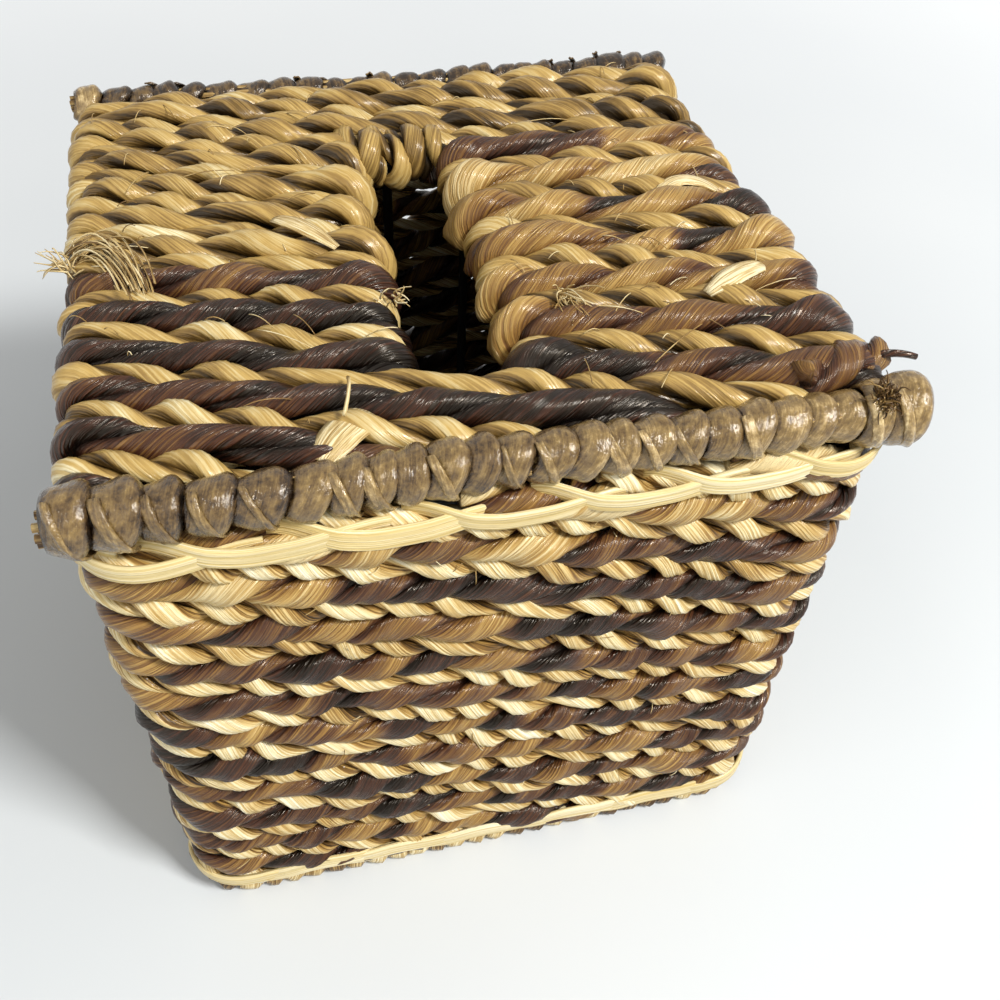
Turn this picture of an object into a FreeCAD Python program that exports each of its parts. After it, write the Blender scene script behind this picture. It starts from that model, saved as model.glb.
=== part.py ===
import FreeCAD, Part
import math
import os

Vector = FreeCAD.Vector
UP = Vector(0, 0, 1)

# Woven cube cover for a box of tissues: a wire cage, rope walls and a rope top with a slot.
# Millimetres. Front is -Y, up is +Z, and the origin is the middle of the footprint on the table.

# Wire cage
wall_width = 144.0           # left to right, over the rope walls
wall_depth = 144.0           # front to back, over the rope walls
frame_height = 132.4         # table to the middle of the top wire
wire_diameter = 2.6
wire_corner_radius = 5.0     # bend of the wire at the four corners
stakes_per_side = 5
base_wire_height = 3.1       # table to the middle of the base wire

# Side walls: pale and dark ropes laid in turn, all winding down to the right
pale_rope_diameter = 4.9
dark_rope_diameter = 5.8
rope_pairs = 11

# Rattan bands that hold the stakes, one above and one below the rope wall
rattan_width = 4.4
rattan_thickness = 1.6
rattan_edge_round = 0.6
rattan_corner_ease = 1.2     # band corners, tighter than the ropes that pass under them

# Border round the foot
border_height = 6.2
border_width = 9.4
border_edge_round = 2.6

# Rolled rims along the front and back edges of the top, the back one thinner
front_rim_diameter = 10.4
front_core_diameter = 6.6
front_rim_rise = 3.6         # rim's middle, above the top wire
back_rim_diameter = 8.6
back_core_diameter = 5.0
back_rim_rise = 3.1
rim_overhang = 1.6           # wraps past the rope wall, left and right
rim_wrap_width = 6.13
rim_wrap_shoulder = 0.9      # height of a wrap at its sides, above the core
rim_core_stub = 1.2          # bare core past the last wrap
rim_setback = 1.4            # rim's outer face, outside the rope wall

# Top rows: ropes from left to right that fan out, thicker to the right
row_overhang = 1.6           # bent row ends past the rope wall, left and right
thin_row_left = 4.6          # diameters at the left and the right edge
thin_row_right = 6.2
thick_row_left = 5.4
thick_row_right = 7.4
top_lean = 14.0              # largest lean of a row, degrees
dark_rows_start = 13         # rows counted from the back before dark ones join on the left
loop_drop = 1.0              # rope end below the bend at the slot

# Slot for the tissues
slot_width = 17.5
slot_length = 74.0
slot_centre_x = -2.75
slot_centre_y = -8.5
field_bays = 2               # bays between the rods under each side of the top

# Clearances
lay_gap = 0.15               # between ropes lying side by side
seat_gap = 0.15              # between a rope or strip and the wire it lies on
weld_gap = 0.05              # between a wire's end and the wire it is welded to

wire_radius = wire_diameter / 2
wire_half_x = wall_width / 2 - dark_rope_diameter - seat_gap - wire_radius
wire_half_y = wall_depth / 2 - dark_rope_diameter - seat_gap - wire_radius
rope_half_x = wall_width / 2 - dark_rope_diameter / 2
rope_half_y = wall_depth / 2 - dark_rope_diameter / 2
rope_corner_radius = wire_corner_radius + rope_half_x - wire_half_x

gripped_wire = wire_diameter + 2 * seat_gap
rim_length = wall_width + 2 * rim_overhang
top_span = wall_width + 2 * row_overhang
rim_face = wall_depth / 2 + rim_setback
front_limit = -rim_face + front_rim_diameter + lay_gap
back_limit = rim_face - back_rim_diameter - lay_gap
wall_bottom = border_height + lay_gap
wall_top = frame_height + front_rim_rise - front_rim_diameter / 2 - lay_gap
row_seat = frame_height + wire_radius + seat_gap


def save(name, shape):
    shape.exportStep("parts/" + name + ".step")


def tube(edges, diameter):
    """Round solid along edges that follow each other smoothly."""
    first = edges[0]
    start = first.valueAt(first.FirstParameter)
    heading = first.tangentAt(first.FirstParameter)
    section = Part.Wire(Part.makeCircle(diameter / 2, start, heading))
    return Part.Wire(edges).makePipeShell([section], True, False)


def rod(start, end, diameter):
    """Straight round rod between two points."""
    run = end - start
    return Part.makeCylinder(diameter / 2, run.Length, start, run)


def rounded_loop(half_x, half_y, radius, height):
    """Level rectangle with round corners, as a closed list of edges."""
    flat_x = half_x - radius
    flat_y = half_y - radius
    cut = radius * (1 - math.sqrt(0.5))
    edges = []
    corner_signs = [(1, -1), (1, 1), (-1, 1), (-1, -1)]
    for index, (sx, sy) in enumerate(corner_signs):
        along_x = Vector(sx * flat_x, sy * half_y, height)
        along_y = Vector(sx * half_x, sy * flat_y, height)
        middle = Vector(sx * (half_x - cut), sy * (half_y - cut), height)
        enter, leave = (along_x, along_y) if sx * sy < 0 else (along_y, along_x)
        edges.append(Part.Arc(enter, middle, leave).toShape())
        next_sx, next_sy = corner_signs[(index + 1) % 4]
        if next_sx == sx:
            run_end = Vector(sx * half_x, next_sy * flat_y, height)
        else:
            run_end = Vector(next_sx * flat_x, sy * half_y, height)
        edges.append(Part.LineSegment(leave, run_end).toShape())
    return edges


def ring_block(outer_x, outer_y, outer_radius, width, bottom, height, edge_round):
    """Level band round the cover, rectangular in section with eased edges."""
    outline = Part.Wire(rounded_loop(outer_x, outer_y, outer_radius, bottom))
    inside = Part.Wire(rounded_loop(outer_x - width, outer_y - width, outer_radius - width, bottom))
    block = Part.Face(outline).extrude(UP * height)
    hollow = Part.Face(inside).extrude(UP * height)
    band = block.cut(hollow)
    level_edges = [edge for edge in band.Edges if edge.BoundBox.ZLength < 0.001]
    return band.makeFillet(edge_round, level_edges)


def wire_loop(height, diameter):
    """Closed bent wire, level, at the size of the cage."""
    return tube(rounded_loop(wire_half_x, wire_half_y, wire_corner_radius, height), diameter)


def stake_places(half):
    """Even places of the stakes along one side of the cage."""
    spacing = 2 * half / (stakes_per_side + 1)
    return [-half + spacing * (index + 1) for index in range(stakes_per_side)]


def upright(x, y, diameter):
    """Wire from the base loop up to the top loop."""
    low = Vector(x, y, base_wire_height + wire_radius + weld_gap)
    high = Vector(x, y, frame_height - wire_radius - weld_gap)
    return rod(low, high, diameter)


def side_stakes(diameter):
    """The stakes of each wall, by the wall's name."""
    across = stake_places(wire_half_x)
    along = stake_places(wire_half_y)
    return {
        "front": [upright(x, -wire_half_y, diameter) for x in across],
        "back": [upright(x, wire_half_y, diameter) for x in across],
        "left": [upright(-wire_half_x, y, diameter) for y in along],
        "right": [upright(wire_half_x, y, diameter) for y in along],
    }


def corner_posts(diameter):
    """Four uprights in the bends of the loops."""
    inset = wire_corner_radius * (1 - math.sqrt(0.5))
    x = wire_half_x - inset
    y = wire_half_y - inset
    return [upright(sx * x, sy * y, diameter) for sx in (-1, 1) for sy in (-1, 1)]


def cage_clearance(loop_height, walls):
    """One loop and the uprights that meet it, fattened, to cut out of what grips them."""
    pieces = [wire_loop(loop_height, gripped_wire)] + corner_posts(gripped_wire)
    stakes = side_stakes(gripped_wire)
    for wall in walls:
        pieces += stakes[wall]
    return pieces


def side_rope_pitch():
    """Height from one side rope to the next, so that they clear each other in the corners too."""
    spacing = (pale_rope_diameter + dark_rope_diameter) / 2 + lay_gap
    girth = 4 * (rope_half_x + rope_half_y)
    corner_steepness = math.sqrt(2) * 2 * rope_pairs / girth
    return spacing / math.sqrt(1 - (spacing * corner_steepness) ** 2)


def side_rope_edges(corner_height):
    """Path of one side rope: straight runs down to the right, joined by arcs at the corners.

    corner_height is the rope's height where its line passes the front left corner.
    """
    girth = 4 * (rope_half_x + rope_half_y)
    fall = 2 * rope_pairs * side_rope_pitch() / girth
    lean = math.atan(fall)
    turn = math.acos(math.sin(lean) ** 2)
    reach = rope_corner_radius * math.tan(turn / 2)
    level_reach = reach * math.cos(lean)
    bulge = rope_corner_radius * (1 / math.cos(turn / 2) - 1)

    outline = [(-rope_half_x, -rope_half_y), (rope_half_x, -rope_half_y),
               (rope_half_x, rope_half_y), (-rope_half_x, rope_half_y)]
    sides = [2 * rope_half_x, 2 * rope_half_y] * 2
    spare = dark_rope_diameter
    begin = (corner_height - wall_top - spare) / fall
    end = (corner_height - wall_bottom + spare) / fall

    # Corner points of the winding line, from well above the wall to well below it
    travelled = -2 * girth
    corners = []
    side = 0
    while travelled < end + girth:
        x, y = outline[side % 4]
        corners.append((travelled, Vector(x, y, corner_height - fall * travelled)))
        travelled += sides[side % 4]
        side += 1

    edges = []
    last = None
    for index in range(1, len(corners) - 1):
        here, corner = corners[index]
        back = (corners[index - 1][1] - corner).normalize()
        ahead = (corners[index + 1][1] - corner).normalize()
        if here + level_reach < begin:
            continue
        if here - level_reach > end:
            run_end = corner + back * ((here - end) / math.cos(lean))
            edges.append(Part.LineSegment(last, run_end).toShape())
            break
        enter = corner + back * reach
        leave = corner + ahead * reach
        if last is None:
            run_back = max(here - begin, level_reach + spare) / math.cos(lean)
            last = corner + back * run_back
        middle = corner + (back + ahead).normalize() * bulge
        edges.append(Part.LineSegment(last, enter).toShape())
        edges.append(Part.Arc(enter, middle, leave).toShape())
        last = leave
    return edges


def side_rope(corner_height, diameter):
    """One wall rope, trimmed level under the upper band and over the border."""
    rope = tube(side_rope_edges(corner_height), diameter)
    corner = Vector(-wall_width, -wall_depth, wall_bottom)
    slab = Part.makeBox(2 * wall_width, 2 * wall_depth, wall_top - wall_bottom, corner)
    return rope.common(slab)


def rim_wrap(start, width, core_diameter, diameter):
    """One strip of bark round the rim's core, domed outside. start is on the rim's axis."""
    inner = core_diameter / 2 + lay_gap
    shoulder = inner + rim_wrap_shoulder
    low_left = start + UP * inner
    low_right = low_left + Vector(width, 0, 0)
    high_left = start + UP * shoulder
    high_right = high_left + Vector(width, 0, 0)
    crown = start + Vector(width / 2, 0, diameter / 2)
    outline = Part.Wire([
        Part.LineSegment(low_left, low_right).toShape(),
        Part.LineSegment(low_right, high_right).toShape(),
        Part.Arc(high_right, crown, high_left).toShape(),
        Part.LineSegment(high_left, low_left).toShape(),
    ])
    return Part.Face(outline).revolve(start, Vector(1, 0, 0), 360)


def rim(side, wall, core_diameter, diameter, rise):
    """Core and wraps of one rolled rim, with room for the wires that they grip."""
    middle = Vector(0, side * (rim_face - diameter / 2), frame_height + rise)
    cage = cage_clearance(frame_height, [wall])
    cage += top_rods(slot_rod_places() + field_rod_places(), gripped_wire)
    half = rim_length / 2
    reach = Vector(half + rim_core_stub, 0, 0)
    core = rod(middle - reach, middle + reach, core_diameter).cut(cage)
    count = round(rim_length / rim_wrap_width)
    pitch = rim_length / count
    wraps = []
    for index in range(count):
        start = middle + Vector(-half + pitch * index + lay_gap / 2, 0, 0)
        wraps.append(rim_wrap(start, pitch - lay_gap, core_diameter, diameter))
    return core, Part.makeCompound(wraps).cut(cage)


def at_share(left, right, x):
    """Value at x of something that changes evenly from the left to the right edge of the top."""
    return left + (right - left) * (x + top_span / 2) / top_span


def row_diameter(thick, x):
    """Rope's diameter at x, for a thick or a thin row."""
    if thick:
        return at_share(thick_row_left, thick_row_right, x)
    return at_share(thin_row_left, thin_row_right, x)


def row_pitches():
    """Spacing of the rows at the left and at the right edge."""
    lean = math.cos(math.radians(top_lean))
    left = ((thin_row_left + thick_row_left) / 2 + lay_gap) / lean
    right = ((thin_row_right + thick_row_right) / 2 + lay_gap) / lean
    return left, right


def row_ends(index):
    """Where a row, counted from the back, meets the left and the right edge."""
    left_pitch, right_pitch = row_pitches()
    left = back_limit - thick_row_left / 2 - left_pitch * index
    right = back_limit - thick_row_right / 2 - right_pitch * index
    return left, right


def row_y(index, x):
    """Middle of a row at x."""
    left, right = row_ends(index)
    return at_share(left, right, x)


def row_count():
    """Rows that start at the left edge clear of the front rim."""
    count = 0
    while row_ends(count)[0] - thick_row_left / 2 > front_limit:
        count += 1
    return count


def slot_rows():
    """First and last row that the slot interrupts."""
    reach = row_diameter(True, slot_centre_x) / 2
    slot_back = slot_centre_y + slot_length / 2 + reach
    slot_front = slot_centre_y - slot_length / 2 - reach
    broken = [index for index in range(row_count()) if slot_front < row_y(index, slot_centre_x) < slot_back]
    return broken[0], broken[-1]


def row_end(point, heading, outward, radius, drop):
    """Skin of a rope's end: turned down over a wire, a straight piece, and its cut face."""
    bend = radius + seat_gap + wire_radius
    across = heading.cross(UP).normalize()
    down = across.cross(heading).normalize() * -1
    middle = point + down * bend
    mouth = Part.makeCircle(radius, point, heading)
    angle = -90 * outward
    turned = mouth.copy()
    turned.rotate(middle, across, angle)
    tip = turned.copy()
    tip.translate(down * drop)
    return [mouth.revolve(middle, across, angle), turned.extrude(down * drop), Part.Face(Part.Wire(tip))]


def row_solid(index, left_tip, right_tip, left_drop, right_drop):
    """One rope of the top between two tips, bent down over a wire at each."""
    thick = index % 2 == 1

    def bend_point(tip, inward):
        """Start of the bend whose outer side reaches the tip."""
        radius = row_diameter(thick, tip) / 2
        x = tip + inward * (2 * radius + seat_gap + wire_radius)
        return Vector(x, row_y(index, x), row_seat + radius), radius

    start, start_radius = bend_point(left_tip, 1)
    end, end_radius = bend_point(right_tip, -1)
    heading = end - start
    length = heading.Length
    heading.normalize()
    rope = Part.makeCone(start_radius, end_radius, length, start, heading)
    skin = [face for face in rope.Faces if face.BoundBox.XLength > length / 2]
    skin += row_end(start, heading, -1, start_radius, left_drop)
    skin += row_end(end, heading, 1, end_radius, right_drop)
    shell = Part.makeShell(skin)
    shell.sewShape()
    row = Part.makeSolid(shell)
    if row.Volume < 0:
        row.reverse()
    corner = Vector(-top_span, front_limit, 0)
    slab = Part.makeBox(2 * top_span, back_limit - front_limit, 2 * frame_height, corner)
    return row.common(slab)


def slot_rod_places():
    """Middle of the rod on each side of the slot, inside the loops of the thickest rows."""
    left_edge = slot_centre_x - slot_width / 2
    right_edge = slot_centre_x + slot_width / 2
    left = left_edge - row_diameter(True, left_edge) - seat_gap - wire_radius
    right = right_edge + row_diameter(True, right_edge) + seat_gap + wire_radius
    return [left, right]


def field_rod_places():
    """Rods that divide the top left and right of the slot into even bays."""
    left, right = slot_rod_places()
    left_bay = (left + wire_half_x) / field_bays
    right_bay = (wire_half_x - right) / field_bays
    steps = range(1, field_bays)
    return [-wire_half_x + left_bay * step for step in steps] + [right + right_bay * step for step in steps]


def top_rods(places, diameter):
    """Wires from front to back under the rows."""
    reach = wire_half_y - wire_radius - weld_gap
    return [rod(Vector(x, -reach, frame_height), Vector(x, reach, frame_height), diameter) for x in places]


def slot_bars():
    """Short wires under the first whole row behind the slot and in front of it, coped to the slot rods."""
    left, right = slot_rod_places()
    first, last = slot_rows()
    beside = top_rods([left, right], wire_diameter + 2 * weld_gap)
    bars = []
    for index in (first - 1, last + 1):
        start = Vector(left, row_y(index, left), frame_height)
        end = Vector(right, row_y(index, right), frame_height)
        bar = rod(start, end, wire_diameter).cut(beside)
        bars.append(max(bar.Solids, key=lambda solid: solid.Volume))
    return bars


def top_rows():
    """Every rope of the top, by the name of its node."""
    left_edge = slot_centre_x - slot_width / 2
    right_edge = slot_centre_x + slot_width / 2
    drop = frame_height - wall_top - lay_gap
    half = top_span / 2
    first, last = slot_rows()
    rows = {}
    for index in range(row_count()):
        dark = index % 2 == 1
        if index < first:
            rows["top_back_row_%d" % (index + 1)] = [row_solid(index, -half, half, drop, drop)]
        elif index > last:
            rows["top_front_row_%d" % (index - last)] = [row_solid(index, -half, half, drop, drop)]
        else:
            left_dark = dark and index >= dark_rows_start
            left_name = "top_left_dark_rows" if left_dark else "top_left_pale_rows"
            right_name = "top_right_dark_rows" if dark else "top_right_pale_rows"
            left_row = row_solid(index, -half, left_edge, drop, loop_drop)
            right_row = row_solid(index, right_edge, half, loop_drop, drop)
            rows.setdefault(left_name, []).append(left_row)
            rows.setdefault(right_name, []).append(right_row)
    return rows


os.makedirs("parts", exist_ok=True)

# Wire cage
save("base_wire", wire_loop(base_wire_height, wire_diameter))
save("top_wire", wire_loop(frame_height, wire_diameter))
save("corner_posts", Part.makeCompound(corner_posts(wire_diameter)))
for wall, stakes in side_stakes(wire_diameter).items():
    save(wall + "_stakes", Part.makeCompound(stakes))

save("slot_rods", Part.makeCompound(top_rods(slot_rod_places(), wire_diameter)))
save("top_rods", Part.makeCompound(top_rods(field_rod_places(), wire_diameter)))
save("slot_end_bars", Part.makeCompound(slot_bars()))

# Foot
border_radius = rope_corner_radius + dark_rope_diameter / 2
border = ring_block(wall_width / 2, wall_depth / 2, border_radius, border_width, 0, border_height,
                    border_edge_round)
save("base_border", border.cut(cage_clearance(base_wire_height, side_stakes(wire_diameter))))

# Rope walls
pitch = side_rope_pitch()
for pair in range(rope_pairs):
    save("pale_side_rope_%02d" % (pair + 1), side_rope(2 * pair * pitch, pale_rope_diameter))
    save("dark_side_rope_%02d" % (pair + 1), side_rope((2 * pair + 1) * pitch, dark_rope_diameter))

# Rattan bands, outside the ropes and inside the stakes
outside_x = wall_width / 2 + seat_gap + rattan_thickness
outside_y = wall_depth / 2 + seat_gap + rattan_thickness
outside_radius = border_radius + seat_gap + rattan_thickness - rattan_corner_ease
inside_step = wire_radius + seat_gap
for level, bottom in (("upper", wall_top - rattan_width), ("lower", wall_bottom)):
    save(level + "_rattan_outside",
         ring_block(outside_x, outside_y, outside_radius, rattan_thickness, bottom, rattan_width,
                    rattan_edge_round))
    save(level + "_rattan_inside",
         ring_block(wire_half_x - inside_step, wire_half_y - inside_step,
                    wire_corner_radius - inside_step, rattan_thickness, bottom, rattan_width,
                    rattan_edge_round))

# Rolled rims
rims = {
    "front": rim(-1, "front", front_core_diameter, front_rim_diameter, front_rim_rise),
    "back": rim(1, "back", back_core_diameter, back_rim_diameter, back_rim_rise),
}
for name, (core, wraps) in rims.items():
    save(name + "_rim_core", core)
    save(name + "_rim_wraps", wraps)

# Top
for name, solids in top_rows().items():
    save(name, Part.makeCompound(solids) if len(solids) > 1 else solids[0])
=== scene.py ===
# %% [markdown]
# # A woven cover for a box of tissues
# A cage of black wire carries everything. Ropes of pale sea grass and of dark banana bark wind round its
# walls, more ropes lie side by side over the top and leave a slot, two rolled rims of bark close the front
# and back edges, and strips of rattan and leaf bind the walls above and below. The frame comes from the CAD
# model, which knows where each rope runs. This script gives every rope its twist and every strip its folds.

# %% Frame
import math

import bmesh
import bpy
import numpy as np
from mathutils import Euler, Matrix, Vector


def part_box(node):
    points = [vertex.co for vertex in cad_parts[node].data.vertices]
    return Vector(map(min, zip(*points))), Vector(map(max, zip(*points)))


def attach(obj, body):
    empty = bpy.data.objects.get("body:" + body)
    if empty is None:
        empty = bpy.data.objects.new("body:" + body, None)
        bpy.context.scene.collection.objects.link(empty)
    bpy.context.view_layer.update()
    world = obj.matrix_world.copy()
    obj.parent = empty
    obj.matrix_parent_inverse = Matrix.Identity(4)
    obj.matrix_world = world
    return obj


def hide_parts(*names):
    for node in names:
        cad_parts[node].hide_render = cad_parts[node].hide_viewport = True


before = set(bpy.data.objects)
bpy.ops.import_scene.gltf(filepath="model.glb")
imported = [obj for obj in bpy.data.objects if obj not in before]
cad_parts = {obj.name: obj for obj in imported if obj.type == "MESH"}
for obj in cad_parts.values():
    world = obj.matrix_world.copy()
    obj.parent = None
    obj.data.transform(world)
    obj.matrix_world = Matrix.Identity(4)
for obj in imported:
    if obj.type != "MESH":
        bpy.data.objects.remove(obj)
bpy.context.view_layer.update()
scene = bpy.context.scene
mm = 0.001

# %% [markdown]
# ## Colour and nodes
# Colours are written as the sRGB hex values that a picture shows, and shaders calculate with linear light,
# so one function converts them. Every material is a handful of nodes. One small function gives the sockets
# of a node their values or links, and another adds a node with its settings and, for a ramp, its colours.

# %% Colour and node helpers


def linear(hex_colour):
    """Linear colour of an sRGB hex value."""
    values = [int(hex_colour[place:place + 2], 16) / 255 for place in (1, 3, 5)]
    return [v / 12.92 if v <= 0.04045 else ((v + 0.055) / 1.055) ** 2.4 for v in values] + [1.0]


def plug(tree, node, sockets):
    """Give sockets of a node their values or links."""
    for socket, value in sockets.items():
        if isinstance(value, bpy.types.NodeSocket):
            tree.links.new(value, node.inputs[socket])
        else:
            node.inputs[socket].default_value = value


def add(tree, kind, sockets=None, stops=None, **settings):
    """Add a node. Sockets take values or links, and stops are the places and colours of a ramp."""
    made = tree.nodes.new(kind)
    for name, value in settings.items():
        setattr(made, name, value)
    plug(tree, made, sockets or {})
    if stops:
        points = made.color_ramp.elements
        points[0].position, points[1].position = stops[0][0], stops[-1][0]
        points[0].color, points[1].color = linear(stops[0][1]), linear(stops[-1][1])
        for place, colour in stops[1:-1]:
            points.new(place).color = linear(colour)
    return made


def new_material(name):
    """An empty material with its tree and its main shader."""
    material = bpy.data.materials.new(name)
    material.use_nodes = True
    return material, material.node_tree, material.node_tree.nodes["Principled BSDF"]


print("middle grey in linear light:", [round(value, 3) for value in linear("#808080")])

# %% [markdown]
# ## Plant fibre
# Sea grass, bark, leaf and rattan are all bundles of long parallel fibres. They show crisp fine lines along
# the strand, slow patches of lighter and darker colour, and a gloss that breaks up on the lines. A picture
# texture would repeat, so two noises do the work: one drawn out along the fibres, one broad. Both read the
# strand's own UV map in millimetres, so the lines follow the twist. A thin clear coat stands for the wax or
# lacquer that such covers get when they are finished. Two attributes steer the colour: tone, how light the
# plant is here, with painted shade added where plies, strips and floats go under each other, and strand, a
# number that keeps two strands from showing the same marks.

# %% Fibre finish
strand_shift = 200.0
dent_depth = 0.35
coat_rough = 0.18


def fibre_finish(name, stops, fibre_width, fibre_run, slant, patch, stretch, fibre_mix, patch_mix, rough,
                 ridge, coat=0.3):
    """Material of parallel fibres. Sizes are in mm, slant is the turn of the fibres in degrees."""
    material, tree, shader = new_material(name)
    uv = add(tree, "ShaderNodeUVMap", uv_map="fibre").outputs["UV"]
    strand = add(tree, "ShaderNodeAttribute", attribute_name="strand").outputs["Fac"]
    tone = add(tree, "ShaderNodeAttribute", attribute_name="tone").outputs["Fac"]
    shift = add(tree, "ShaderNodeCombineXYZ", {"Z": strand}).outputs["Vector"]
    apart = add(tree, "ShaderNodeVectorMath", {0: shift, "Scale": strand_shift},
                operation="SCALE").outputs[0]
    place = add(tree, "ShaderNodeVectorMath", {0: uv, 1: apart}, operation="ADD").outputs[0]
    turn = (0.0, 0.0, math.radians(slant))
    along = add(tree, "ShaderNodeMapping",
                {"Vector": place, "Rotation": turn, "Scale": (fibre_run, fibre_width, 1.0)},
                vector_type="TEXTURE").outputs["Vector"]
    fibres = add(tree, "ShaderNodeTexNoise",
                 {"Vector": along, "Scale": 1.0, "Detail": 2.0, "Roughness": 0.6}).outputs["Fac"]
    lines = add(tree, "ShaderNodeMapRange", {"Value": fibres, 1: 0.32, 2: 0.68},
                interpolation_type="SMOOTHSTEP").outputs["Result"]
    broad = add(tree, "ShaderNodeMapping",
                {"Vector": place, "Rotation": turn, "Scale": (patch * stretch, patch, 1.0)},
                vector_type="TEXTURE").outputs["Vector"]
    patches = add(tree, "ShaderNodeTexNoise",
                  {"Vector": broad, "Scale": 1.0, "Detail": 4.0, "Roughness": 0.65}).outputs["Fac"]
    level = add(tree, "ShaderNodeMath", {0: lines, 1: fibre_mix, 2: tone},
                operation="MULTIPLY_ADD").outputs[0]
    level = add(tree, "ShaderNodeMath", {0: patches, 1: patch_mix, 2: level},
                operation="MULTIPLY_ADD").outputs[0]
    level = add(tree, "ShaderNodeMath", {0: level, 1: (fibre_mix + patch_mix) / 2},
                operation="SUBTRACT").outputs[0]
    colour = add(tree, "ShaderNodeValToRGB", {"Fac": level}, stops).outputs["Color"]
    gloss = add(tree, "ShaderNodeMapRange",
                {"Value": lines, 3: rough + 0.12, 4: rough - 0.08}).outputs["Result"]
    dents = add(tree, "ShaderNodeBump", {"Height": patches, "Distance": dent_depth * mm}).outputs["Normal"]
    bump = add(tree, "ShaderNodeBump",
               {"Height": lines, "Distance": ridge * mm, "Normal": dents}).outputs["Normal"]
    plug(tree, shader, {"Base Color": colour, "Roughness": gloss, "Normal": bump, "Coat Normal": bump,
                        "IOR": 1.45, "Specular IOR Level": 0.35, "Specular Tint": linear("#ffe9c8"),
                        "Coat Weight": coat, "Coat Roughness": coat_rough})
    print("material", name, "with", len(tree.nodes), "nodes")
    return material


# %% [markdown]
# The plants differ in colour, in how wide their fibres are and in how the fibres lie. Sea grass is dried
# leaf, straw yellow to olive, with fibres along the ply. Banana bark is near black to tan, shiny, with
# ribs that cross the ply at a slant because each strip is rolled before it is laid. Rim bark is flat and
# mottled, under a thicker coat. Peeled rattan is pale and even, with long pores. A picture would show one
# piece of each plant. Ramps and sizes serve for any length of strand.

# %% Plant materials
sea_grass = fibre_finish(
    "dried_sea_grass", [(0.0, "#2c1d0c"), (0.2, "#755529"), (0.4, "#b08c4c"), (0.6, "#d3b87c"),
                        (0.8, "#e9d8a8"), (1.0, "#f7efd2")],
    fibre_width=0.45, fibre_run=18.0, slant=5.0, patch=2.4, stretch=4.0, fibre_mix=0.4, patch_mix=0.5,
    rough=0.4, ridge=0.12)
olive_grass = fibre_finish(
    "olive_sea_grass", [(0.0, "#251a0b"), (0.2, "#5c4520"), (0.42, "#937540"), (0.62, "#ba9a58"),
                        (0.82, "#d0bb86"), (1.0, "#ece1b8")],
    fibre_width=0.5, fibre_run=22.0, slant=6.0, patch=3.2, stretch=3.0, fibre_mix=0.26, patch_mix=0.75,
    rough=0.36, ridge=0.07)
banana_bark = fibre_finish(
    "banana_bark", [(0.0, "#0a0605"), (0.16, "#21110b"), (0.32, "#44261a"), (0.48, "#684727"),
                    (0.64, "#8f6b37"), (0.82, "#b79556"), (1.0, "#dec894")],
    fibre_width=0.45, fibre_run=14.0, slant=-26.0, patch=3.0, stretch=3.0, fibre_mix=0.26, patch_mix=0.42,
    rough=0.3, ridge=0.16)
rim_bark = fibre_finish(
    "lacquered_rim_bark", [(0.0, "#0e0804"), (0.2, "#2e1f11"), (0.42, "#624c2d"), (0.66, "#866d41"),
                           (0.86, "#b29766"), (1.0, "#d9c28f")],
    fibre_width=0.4, fibre_run=9.0, slant=10.0, patch=1.4, stretch=1.2, fibre_mix=0.16, patch_mix=1.15,
    rough=0.16, ridge=0.03, coat=0.8)
rattan = fibre_finish(
    "peeled_rattan", [(0.0, "#5d431a"), (0.25, "#a88848"), (0.5, "#d2b876"), (0.75, "#e4d09a"),
                      (1.0, "#f3e8c6")],
    fibre_width=0.35, fibre_run=60.0, slant=0.0, patch=4.0, stretch=5.0, fibre_mix=0.4, patch_mix=0.3,
    rough=0.45, ridge=0.1)
cut_fibre = fibre_finish(
    "dry_cut_fibre", [(0.0, "#1d1108"), (0.3, "#5f4426"), (0.55, "#a3834c"), (0.8, "#d3ba82"),
                      (1.0, "#eedfb4")],
    fibre_width=0.4, fibre_run=8.0, slant=0.0, patch=2.0, stretch=3.0, fibre_mix=0.45, patch_mix=0.45,
    rough=0.45, ridge=0.1)

# %% [markdown]
# ## Rolled grids
# A ply of rope, a strip of bark and a loose fibre are all a sheet that was rolled or folded. Each starts as
# a flat grid, which brings its own UV map, and its points are then moved to rings along the strand. The UV
# map is stretched to millimetres along and around it, for the fibres of its finish. A curve with a bevel
# would be shorter, but its outline could not turn to face out of the rope as a ply does.

# %% Rolled grid


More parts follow.
